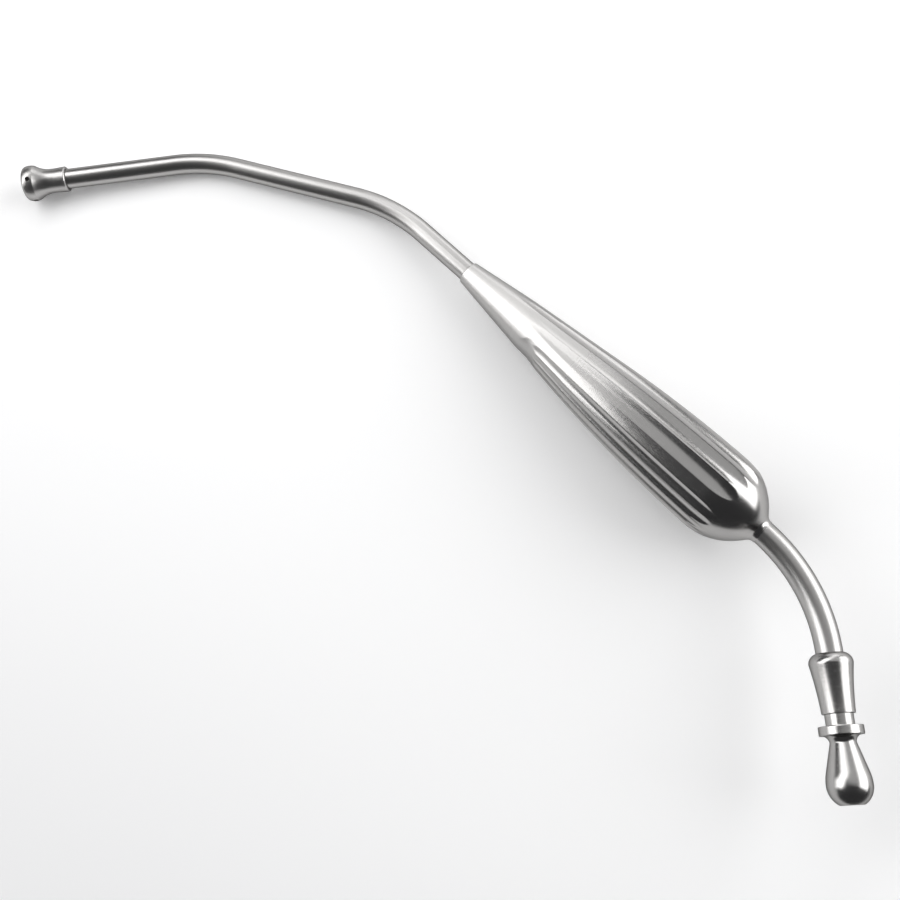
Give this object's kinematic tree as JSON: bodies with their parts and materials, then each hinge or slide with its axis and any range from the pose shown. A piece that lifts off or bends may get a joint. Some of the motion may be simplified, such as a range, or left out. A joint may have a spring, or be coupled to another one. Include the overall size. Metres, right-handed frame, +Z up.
{
  "type": "yankauer suction tip",
  "caption": "Reusable metal suction wand with a vented bell tip, a bent slender tube, a fluted hollow grip and an olive for a hose.",
  "frame": {"origin": "centre of the bounding box at the level of the surface that the instrument lies on", "axes": "+X from the hose end towards the suction tip, +Z up from the surface it rests on, +Y across"},
  "size_m": [0.275, 0.0642, 0.0267],
  "materials": {
    "suction_tip": "polished",
    "front_tube": "polished",
    "handle": "satin",
    "tail_tube": "polished",
    "hose_ferrule": "polished",
    "hose_nipple": "polished"
  },
  "bodies": {
    "root": {"suction_tip": "suction_tip", "front_tube": "front_tube", "handle": "handle", "tail_tube": "tail_tube", "hose_ferrule": "hose_ferrule", "hose_nipple": "hose_nipple"}
  },
  "joints": []
}
